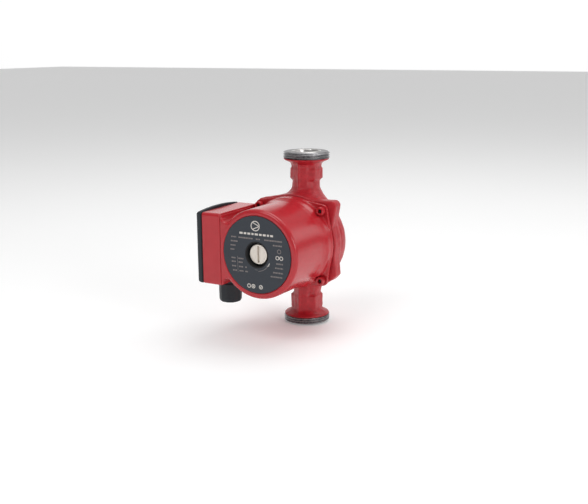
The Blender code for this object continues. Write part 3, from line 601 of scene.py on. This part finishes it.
def make_stator_housing():
    grid = Grid((-43, -99, -48), (48, -29, 48), 0.62)
    front = arc((MOTOR_R - 3.6, MOTOR_FRONT + 3.6), 3.6, -90, 0, 10)
    profile = [(0.0, MOTOR_FRONT), *front, (44.2, -56.0), (44.5, -48.0), (45.3, -43.0), (46.6, -39.0),
               (MOTOR_FLANGE_R, -30.0), (0.0, -30.0)]
    body = grid.turned(profile)
    flange = grid.prism(stator_outline(), "Y", LUG_FACE, MOTOR_BACK, 0.7)
    body = smooth_min(body, flange, 1.6)
    # The web to the terminal box, with a rounded scoop above and below it
    upper = [(-29.2, 28.2)] + arc((-35.2, 33.5), 5.5, -80, -170, 14) + [(-41.0, 35.0)]
    lower = [(x, -z) for x, z in reversed(upper)]
    outline = upper + [(-43.0, 34.8), (-43.0, -34.8)] + lower + [(-24.0, -20.0), (-24.0, 20.0)]
    web = grid.prism(outline, "Y", MOTOR_FRONT + 0.2, -42.0, 1.5)
    body = smooth_min(body, web, 0.9)
    hollow = grid.disc(40.3, -94.8, -20.0, rounding=1.0)
    cutters = [
        grid.disc(PLATE_R + 0.3, -110.0, -97.5),
        grid.disc(PLUG_HOLE_R, -110.0, -90.0),
        grid.block((-80.0, -120.0, -37.0), (-42.0, -28.6, 37.0)),
        grid.disc(LEAD_HOLE_R, -50.0, -36.0, "X", (LEAD_Y, 0.0)),
        *[grid.disc(2.1, -50.0, -38.4, "X", at) for at in BOX_SCREWS],
    ]
    for cutter in cutters:
        hollow = np.minimum(hollow, cutter)
    body = smooth_max(body, -hollow, 0.5)
    pockets = 1e3
    for at in SCREWS:
        pockets = np.minimum(pockets, grid.disc(SCREW_POCKET_R, -60.0, LUG_FACE, centre=at))
        pockets = np.minimum(pockets, grid.disc(SCREW_HOLE_R, -40.0, -20.0, centre=at))
    body = smooth_max(body, -pockets, 0.9)
    made = field_object("motor_housing", grid, body, LOOKS["paint_red"], slot="paint_red")
    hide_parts("stator_housing")


def make_flange_screws():
    head = LUG_FACE - 0.3
    grid = Grid((-5, head - 5, -5), (5, -20, 5), 0.24)
    profile = [(0.0, head - 5.0), *arc((3.4, head - 4.1), 0.9, -90, 0, 6), (SCREW_HEAD_R, head),
               (SCREW_SHANK_R, head), (SCREW_SHANK_R, -20.0), (0.0, -20.0)]
    body = grid.turned(profile)
    hexagon = arc((0, 0), SCREW_SOCKET_R, 30, 330, 5)
    body = smooth_max(body, -grid.prism(hexagon, "Y", head - 8.0, head - 1.8), 0.35)
    points, quads = surface(grid, body)
    for number, (x, z) in enumerate(SCREWS, 1):
        made = mesh_object(f"flange_screw_fine_{number}", points + np.array([x, 0, z]), quads,
                           LOOKS["paint_red"], slot="paint_red")
        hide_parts(f"flange_screw_{number}")
        # A thin black disc at each socket's floor: painted shade standing in for the dark hex socket
        socket = front_disc(f"socket_shade_disc_{number}", (x, head - 2.0, z), 2.0, LOOKS["rubber"])


def front_disc(name, at, radius, look, thick=0.18, sides=24):
    """A thin closed disc facing the front, with its back's centre at a point."""
    rings = [(0.0, -thick), (radius - 0.1, -thick), (radius, -thick + 0.1), (radius, 0.0), (0.0, 0.0)]
    vertices, faces = [], []
    for r, y in rings:
        if r == 0.0:
            vertices.append((at[0], at[1] + y, at[2]))
            continue
        vertices += [
            (at[0] + r * math.cos(turn), at[1] + y, at[2] + r * math.sin(turn))
            for turn in (math.tau * k / sides for k in range(sides))
        ]
    last = len(vertices) - 1
    for k in range(sides):
        n = (k + 1) % sides
        faces.append((0, 1 + k, 1 + n))
        for level in range(2):
            base = 1 + level * sides
            faces.append((base + k, base + sides + k, base + sides + n, base + n))
        faces.append((last, last - sides + n, last - sides + k))
    return mesh_object(name, vertices, faces, look)


# --- Nameplate --------------------------------------------------------------------------------

class Marks:
    """Flat printed marks on the plate, each a thin closed block, gathered into one piece."""

    def __init__(self, face=PLATE_FACE, thick=0.05):
        self.vertices, self.faces = [], []
        self.front, self.back = face - thick, face + 0.02

    def strip(self, left, right):
        """A strip between two lines of points in the plate's plane, left and right of its path."""
        start = len(self.vertices)
        for a, b in zip(left, right):
            self.vertices += [(a[0], self.front, a[1]), (b[0], self.front, b[1]),
                              (b[0], self.back, b[1]), (a[0], self.back, a[1])]
        for k in range(len(left) - 1):
            base = start + 4 * k
            for c in range(4):
                n = (c + 1) % 4
                self.faces.append((base + c, base + 4 + c, base + 4 + n, base + n))
        end = len(self.vertices) - 4
        self.faces += [(start, start + 1, start + 2, start + 3), (end + 3, end + 2, end + 1, end)]

    def bar(self, x, z, width, height):
        top, bottom = z + height / 2, z - height / 2
        self.strip([(x, top), (x + width, top)], [(x, bottom), (x + width, bottom)])

    def arc(self, centre, radius, start, end, width, steps=16):
        outer, inner = radius + width / 2, radius - width / 2
        self.strip(arc(centre, outer, start, end, steps), arc(centre, inner, start, end, steps))

    def line(self, a, b, width):
        dx, dz = b[0] - a[0], b[1] - a[1]
        size = math.hypot(dx, dz) / (width / 2)
        ox, oz = -dz / size, dx / size
        left = [(a[0] + ox, a[1] + oz), (b[0] + ox, b[1] + oz)]
        right = [(a[0] - ox, a[1] - oz), (b[0] - ox, b[1] - oz)]
        self.strip(left, right)

    def words(self, x, z, end, height, lengths, gap=0.9):
        """A row of dashes in place of words, with their lengths repeated in turn."""
        k = 0
        while x < end - 0.4:
            width = min(lengths[k % len(lengths)], end - x)
            self.bar(x, z, width, height)
            x += width + gap
            k += 1

    def add(self, name, look):
        mesh_object(name, self.vertices, self.faces, look, slot="slate", smooth=False)


def make_plate():
    light, dim = Marks(), Marks()
    # A plain circle with a triangle in it, the drawing symbol for a pump, and a row of blocks below it
    light.arc((-1.0, 28.2), 4.6, 90, 450, 0.9, 48)
    light.line((-3.6, 31.4), (3.4, 28.2), 0.8)
    light.line((3.4, 28.2), (-3.6, 25.0), 0.8)
    light.words(-19.0, 20.2, 18.6, 1.9, (3.6, 2.9, 3.2, 2.4), 1.3)
    rows = [  # x, z, and the x where the row of dashes ends
        (-28.6, 15.6, -22.2), (-20.2, 15.6, -4.0), (-0.5, 15.6, 4.5), (9.0, 15.6, 28.6),
        (-29.2, 11.4, -21.0), (18.4, 11.3, 28.9), (-29.6, 7.2, -23.6), (-29.8, 3.1, -25.4),
        (22.0, -6.1, 29.2), (20.6, -10.4, 29.4), (18.4, -15.0, 29.2), (15.6, -19.2, 28.6),
        (-28.8, -5.3, -23.6), (-20.8, -5.3, -14.9), (-28.6, -9.0, -23.4), (-20.6, -9.0, -15.6),
        (-28.2, -13.4, -23.0), (-20.2, -13.4, -15.6), (-13.0, -13.4, -11.2), (-27.4, -17.6, -22.8),
        (-19.8, -17.6, -15.2), (-13.0, -17.6, -10.2),
    ]
    for x, z, end in rows:
        dim.words(x, z, end, 1.35, (1.5, 0.9, 1.2, 0.7, 1.7), 0.45)
    dim.line((-21.9, -3.2), (-21.5, -19.4), 0.3)
    dim.arc((25.2, 5.9), 1.9, 90, 450, 0.55, 28)
    light.arc((23.2, -0.5), 1.7, 90, 450, 0.7, 24)
    light.arc((27.4, -0.5), 1.7, 90, 450, 0.7, 24)
    # An arc with an arrowhead, for the way the rotor turns
    dim.arc((0.0, 0.0), 15.9, -83, -34, 0.45, 20)
    tip = arc((0.0, 0.0), 15.9, -34, -25, 1)
    light.line(tip[0], tip[1], 0.9)
    light.line((11.5, -9.7), (13.9, -9.3), 0.55)
    dim.arc((0.0, 0.0), 14.7, -98, -86, 0.3, 6)
    # Three small rings at the foot of the plate
    for x in (-9.1, -4.1, 4.4):
        light.arc((x, -31.3), 1.75, 90, 450, 0.8, 24)
    light.bar(-4.8, -31.3, 1.4, 1.4)
    light.line((3.3, -32.4), (5.5, -30.2), 0.7)
    light.add("plate_marks_light", PRINT_LIGHT)
    dim.add("plate_marks_dim", PRINT_DIM)


def make_plug_gasket_and_shade():
    """A black rubber lining of the plug's recess, from the plate down to the seal: partly a gasket, and
    partly painted shade for the recess's shadowed walls.
    """
    grid = Grid((-13.5, -98.7, -13.5), (13.5, -91.2, 13.5), 0.3)
    inner, outer, front, back = 12.2, PLUG_HOLE_R - 0.03, -98.45, -92.7
    body = grid.turned([(inner, front), (outer, front), (outer, back), (inner, back)])
    field_object("plug_gasket_and_shade", grid, body, LOOKS["rubber"], slot="rubber")


def make_vent_plug():
    grid = Grid((-10, -96, -10), (10, -88, 10), 0.27)
    profile = [(0.0, PLUG_FACE), *arc((9.3, -94.8), 0.6, -90, 0, 5), (PLUG_R, -92.4), (7.3, -92.4),
               (7.3, -91.2), (8.4, -90.8), (8.4, -88.0), (0.0, -88.0)]
    body = grid.turned(profile)
    radius = np.hypot(grid.x, grid.z)
    # Faint turning rings on the plug's face
    body = body + 0.035 * np.cos(radius * math.tau / 1.1) * (np.abs(grid.y - PLUG_FACE) < 0.6)
    slot = grid.block((-0.95, -99.0, -7.9), (0.95, -93.3, 7.9), 0.3)
    body = smooth_max(body, -slot, 0.4)
    made = field_object("vent_plug_fine", grid, body, LOOKS["plug_metal"], "vent_plug", "plug_metal")
    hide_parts("vent_screw")


# --- Terminal box -----------------------------------------------------------------------------

def box_outline(inset, radius):
    low_y, high_y, half = BOX_FRONT + inset, BOX_BACK - inset, BOX_HALF_Z - inset
    outline = []
    for y, z, start in ((high_y, half, 0), (low_y, half, 90), (low_y, -half, 180), (high_y, -half, 270)):
        centre = (y - math.copysign(radius, y - (low_y + high_y) / 2), z - math.copysign(radius, z))
        outline += arc(centre, radius, start, start + 90, 8)
    return outline


def make_terminal_box():
    grid = Grid((BOX_RIM, BOX_FRONT, -35), (BOX_SIDE, BOX_BACK, 35), 0.55)
    body = grid.prism(box_outline(0.0, BOX_CORNER_R), "X", BOX_RIM, BOX_SIDE, 0.9)
    hollow = grid.prism(box_outline(BOX_WALL, BOX_INNER_R), "X", BOX_RIM - 9.0, BOX_SIDE - BOX_WALL)
    posts = [grid.disc(COVER_POST_R, BOX_RIM + 0.3, BOX_SIDE - 1.0, "X", at) for at in COVER_SCREWS]
    z = SELECTOR_AT[1]
    posts.append(grid.block((-46.2, -61.0, z - 9.0), (-44.0, -45.0, z + 9.0)))
    body = smooth_max(body, -hollow, 0.5)
    for post in posts:
        body = smooth_min(body, post, 0.8)
    drills = [
        grid.disc(LEAD_HOLE_R, -50.0, -36.0, "X", (LEAD_Y, 0.0)),
        grid.disc(6.5, -40.0, -30.0, "Z", GLAND_AT),
        *[grid.disc(2.2, -50.0, -40.0, "X", at) for at in BOX_SCREWS],
        *[grid.disc(1.8, -67.0, -50.0, "X", at) for at in COVER_SCREWS],
        grid.disc(1.8, -50.0, -43.4, "X", EARTH_AT),
    ]
    for drill in drills:
        body = np.maximum(body, -drill)
    made = field_object("terminal_box_fine", grid, body, LOOKS["paint_red"], slot="paint_red")
    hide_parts("terminal_box")


def make_terminal_cover():
    grid = Grid((COVER_END, BOX_FRONT, -37), (COVER_RIM, BOX_BACK, 39.5), 0.5)
    middle, half = (BOX_FRONT + BOX_BACK) / 2, (BOX_BACK - BOX_FRONT) / 2
    # The top edge rises towards its middle, and the outer face draws in towards the foot
    bow = COVER_BOW * (1 - ((grid.y - middle) / half) ** 2) * np.clip(grid.z / BOX_HALF_Z, 0.0, 1.0)
    outline = polygon_distance(grid.y, grid.z - bow, box_outline(0.0, BOX_CORNER_R))
    depth = COVER_RIM - grid.x
    inset = np.interp(depth, [0.0, 3.7, 5.0, 6.0, 6.7, 7.0], [0.0, 0.3, 1.0, 2.2, 3.8, 5.4])
    end = COVER_END + COVER_TAPER * np.clip(-grid.z / BOX_HALF_Z, 0.0, 1.0) ** 2
    body = smooth_max(outline + inset, np.maximum(end - grid.x, grid.x - COVER_RIM), 1.0)
    # A shallow moulded panel with a raised border on the outer face
    panel = grid.block((-78.0, -92.0, -30.0), (-71.4, -35.6, 30.0), 2.0)
    body = smooth_max(body, -panel, 0.6)
    hollow = grid.prism(box_outline(COVER_WALL, BOX_INNER_R), "X", COVER_RIM - 3.6, COVER_RIM + 9.0)
    body = np.maximum(body, -hollow)
    inside = COVER_RIM + 0.3
    for at in COVER_SCREWS:
        body = smooth_min(body, grid.disc(COVER_POST_R, COVER_FACE - 0.1, inside, "X", at), 0.6)
    body = smooth_min(body, grid.disc(6.0, COVER_FACE - 0.1, inside - 1.5, "X", SELECTOR_AT), 0.6)
    drills = [
        *[grid.disc(2.2, -78.0, -55.0, "X", at) for at in COVER_SCREWS],
        *[grid.disc(4.0, -78.0, COVER_FACE, "X", at) for at in COVER_SCREWS],
        grid.disc(SPINDLE_HOLE_R, -78.0, -55.0, "X", SELECTOR_AT),
        grid.disc(4.4, -78.0, COVER_FACE - 0.2, "X", SELECTOR_AT),
    ]
    for drill in drills:
        body = smooth_max(body, -drill, 0.3)
    made = field_object("terminal_cover_fine", grid, body, LOOKS["black_plastic"], slot="black_plastic")
    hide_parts("terminal_cover")


def make_knob():
    """The speed selector's knob: fluted round the side, with a raised pointer."""
    y, z = SELECTOR_AT
    grid = Grid((-80.0, y - 9.2, z - 9.2), (-72.4, y + 9.2, z + 9.2), 0.3)
    dy, dz = grid.y - y, grid.z - z
    flutes = 0.35 * np.maximum(np.cos(KNOB_FLUTES * np.arctan2(dz, dy)), -0.2)
    taper = 0.12 * np.maximum(KNOB_BACK - grid.x, 0.0) * 0.6
    side = np.hypot(dy, dz) - KNOB_R - flutes * 0.4 + taper
    body = grid.between(side, KNOB_END, KNOB_BACK, "X", 0.7)
    pointer = grid.block((-79.9, y - 1.5, z - 6.5), (-77.3, y + 1.5, z + 8.0), 0.6)
    body = smooth_min(body, pointer, 0.8)
    body = np.maximum(body, -grid.disc(SPINDLE_HOLE_R, -76.2, -60.0, "X", SELECTOR_AT))
    made = field_object("speed_knob_fine", grid, body, LOOKS["black_plastic"], "selector", "black_plastic")
    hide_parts("speed_knob")
    mark = block_mesh((-79.93, y - 0.4, z + 2.0), (-79.8, y + 0.4, z + 7.0))
    mesh_object("knob_mark", *mark, PRINT_LIGHT, "selector", "white_plastic", smooth=False)


def block_mesh(low, high):
    """The corners and faces of a block between two opposite corners."""
    vertices = [(x, y, z) for x in (low[0], high[0]) for y in (low[1], high[1]) for z in (low[2], high[2])]
    faces = [(0, 1, 3, 2), (4, 6, 7, 5), (0, 4, 5, 1), (2, 3, 7, 6), (0, 2, 6, 4), (1, 5, 7, 3)]
    return vertices, faces


def make_gland_nut():
    x, y = GLAND_AT
    grid = Grid((x - 13, y - 13, NUT_FOOT), (x + 13, y + 13, NUT_TOP), 0.36)
    dx, dy = grid.x - x, grid.y - y
    # Ten flats round the side, in opposite pairs
    turns = [math.pi * (k + 0.5) / 5 for k in range(5)]
    pairs = [np.abs(dx * math.cos(turn) + dy * math.sin(turn)) for turn in turns]
    flats = pairs[0]
    for pair in pairs[1:]:
        flats = smooth_max(pair, flats, 0.9)
    inset = np.interp(grid.z, [NUT_FOOT, -58.6, -56.6, -40.2, NUT_TOP], [1.7, 0.8, 0.25, 0.0, 0.6])
    body = grid.between(flats - NUT_HALF + inset, NUT_FOOT, NUT_TOP, "Z", 1.1)
    bore = grid.turned([(0.0, -30.0), (9.1, -30.0), (9.1, -52.6), (7.4, -56.4), (CABLE_R + 1.2, -56.4),
                        (CABLE_R + 1.2, -62.0), (0.0, -62.0)], "Z", GLAND_AT)
    body = smooth_max(body, -bore, 0.5)
    made = field_object("gland_nut_fine", grid, body, LOOKS["black_plastic"], slot="black_plastic")
    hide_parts("gland_nut")


# --- Stage ------------------------------------------------------------------------------------

def make_camera():
    turn, down, roll = (math.radians(a) for a in (CAMERA_TURN, CAMERA_DOWN, CAMERA_ROLL))
    forward = Vector((-math.sin(turn) * math.cos(down), math.cos(turn) * math.cos(down), -math.sin(down)))
    level = forward.cross(Vector((0, 0, 1))).normalized()
    rise = level.cross(forward)
    right = math.cos(roll) * level + math.sin(roll) * rise
    up = right.cross(forward)
    data = bpy.data.cameras.new("camera")
    data.sensor_width, data.lens = 36.0, CAMERA_LENS
    data.clip_start, data.clip_end = 0.01, 50.0
    made = bpy.data.objects.new("camera", data)
    bpy.context.scene.collection.objects.link(made)
    axes = Matrix((right, up, -forward)).transposed().to_4x4()
    made.matrix_world = Matrix.Translation(CAMERA_AT) @ axes
    bpy.context.scene.camera = made


def area_light(name, place, target, size, power):
    data = bpy.data.lights.new(name, "AREA")
    data.shape, data.size, data.size_y = "RECTANGLE", *size
    data.energy = power
    made = bpy.data.objects.new(name, data)
    bpy.context.scene.collection.objects.link(made)
    made.location = place
    made.rotation_euler = (Vector(target) - Vector(place)).to_track_quat("-Z", "Y").to_euler()


def make_stage():
    """A pale floor, three soft lamps, and a backdrop whose brightness changes with height and direction."""
    world = bpy.data.worlds.new("studio")
    world.use_nodes = True
    bpy.context.scene.world = world
    nodes, links = world.node_tree.nodes, world.node_tree.links
    split = nodes.new("ShaderNodeSeparateXYZ")
    links.new(nodes.new("ShaderNodeTexCoord").outputs["Generated"], split.inputs["Vector"])

    def ranged(output, low, high, at_low=0.0):
        node = nodes.new("ShaderNodeMapRange")
        links.new(split.outputs[output], node.inputs["Value"])
        for socket, value in (("From Min", low), ("From Max", high), ("To Min", at_low)):
            node.inputs[socket].default_value = value
        return node.outputs["Result"]

    def by_height(levels):
        """How bright the backdrop is, from (height, level) pairs; the height runs from -1 to 1."""
        node = nodes.new("ShaderNodeValToRGB")
        links.new(ranged("Z", -1.0, 1.0), node.inputs["Fac"])
        marks = node.color_ramp.elements
        marks[0].position, marks[1].position = (levels[0][0] + 1) / 2, (levels[-1][0] + 1) / 2
        for height, _ in levels[1:-1]:
            marks.new((height + 1) / 2)
        for element, (_, level) in zip(marks, levels):
            element.color = (level, level, level, 1.0)
        return node.outputs["Color"]

    def times(a, b):
        node = nodes.new("ShaderNodeMath")
        node.operation = "MULTIPLY"
        for socket, value in zip(node.inputs, (a, b)):
            if isinstance(value, float):
                socket.default_value = value
            else:
                links.new(value, socket)
        return node.outputs["Value"]

    sides = nodes.new("ShaderNodeMix")
    sides.data_type = "RGBA"
    links.new(ranged("X", *BACKDROP_MIX), sides.inputs["Factor"])
    links.new(by_height(BACKDROP_LEFT), sides.inputs["A"])
    links.new(by_height(BACKDROP_RIGHT), sides.inputs["B"])
    level = times(times(sides.outputs["Result"], ranged("Y", *BACKDROP_DEPTH, WORLD_FRONT)), WORLD_STRENGTH)
    background = nodes["Background"]
    links.new(level, background.inputs["Strength"])
    background.inputs["Color"].default_value = (1.0, 1.0, 1.0, 1.0)
    corners = [(-1, -1), (1, -1), (1, 1), (-1, 1)]
    floor = bpy.data.meshes.new("floor")
    floor.from_pydata(
        [(x * FLOOR_HALF * MM, y * FLOOR_HALF * MM, FLOOR_Z * MM) for x, y in corners], [], [(0, 1, 2, 3)],
    )
    made = bpy.data.objects.new("floor", floor)
    bpy.context.scene.collection.objects.link(made)
    look = finish(
        "pale_floor", (0.93, 0.93, 0.93), (0.92, 0.92, 0.92), 0.8, specular=0.1, grain=8.0, bump=0.0,
    )
    shader = look.node_tree.nodes["Principled BSDF"]
    shader.inputs["Emission Color"].default_value = (1.0, 1.0, 1.0, 1.0)
    shader.inputs["Emission Strength"].default_value = FLOOR_GLOW
    floor.materials.append(look)
    area_light("key", (-0.25, -1.3, 1.5), (0, -0.04, 0), (1.0, 1.0), KEY)
    area_light("side", (1.5, -0.5, 0.5), (0, -0.04, 0), (0.5, 0.7), SIDE)
    area_light("overhead", (0.1, 0.45, 1.3), (0, 0.1, 0), (1.0, 0.9), OVERHEAD)


# --- The pump ---------------------------------------------------------------------------------

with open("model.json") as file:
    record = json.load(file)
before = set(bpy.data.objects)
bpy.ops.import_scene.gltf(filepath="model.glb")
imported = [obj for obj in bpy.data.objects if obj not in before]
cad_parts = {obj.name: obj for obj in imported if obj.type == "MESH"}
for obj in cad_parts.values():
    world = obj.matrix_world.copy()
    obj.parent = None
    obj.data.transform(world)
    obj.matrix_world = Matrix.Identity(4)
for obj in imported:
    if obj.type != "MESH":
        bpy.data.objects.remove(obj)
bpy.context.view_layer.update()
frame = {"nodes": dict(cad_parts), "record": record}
make_camera()
make_stage()
slots = {row["node"]: row["material_slot"] for row in frame["record"]["subparts"]}
for node_name, node in frame["nodes"].items():
    node.data.materials.clear()
    node.data.materials.append(LOOKS[slots[node_name]])
make_casing()
make_collar("inlet_thread", -1)
make_collar("outlet_thread", 1)
make_stator_housing()
make_flange_screws()
make_plate()
make_plug_gasket_and_shade()
make_vent_plug()
make_terminal_box()
make_terminal_cover()
make_knob()
make_gland_nut()

bpy.context.scene.view_settings.view_transform = "Standard"
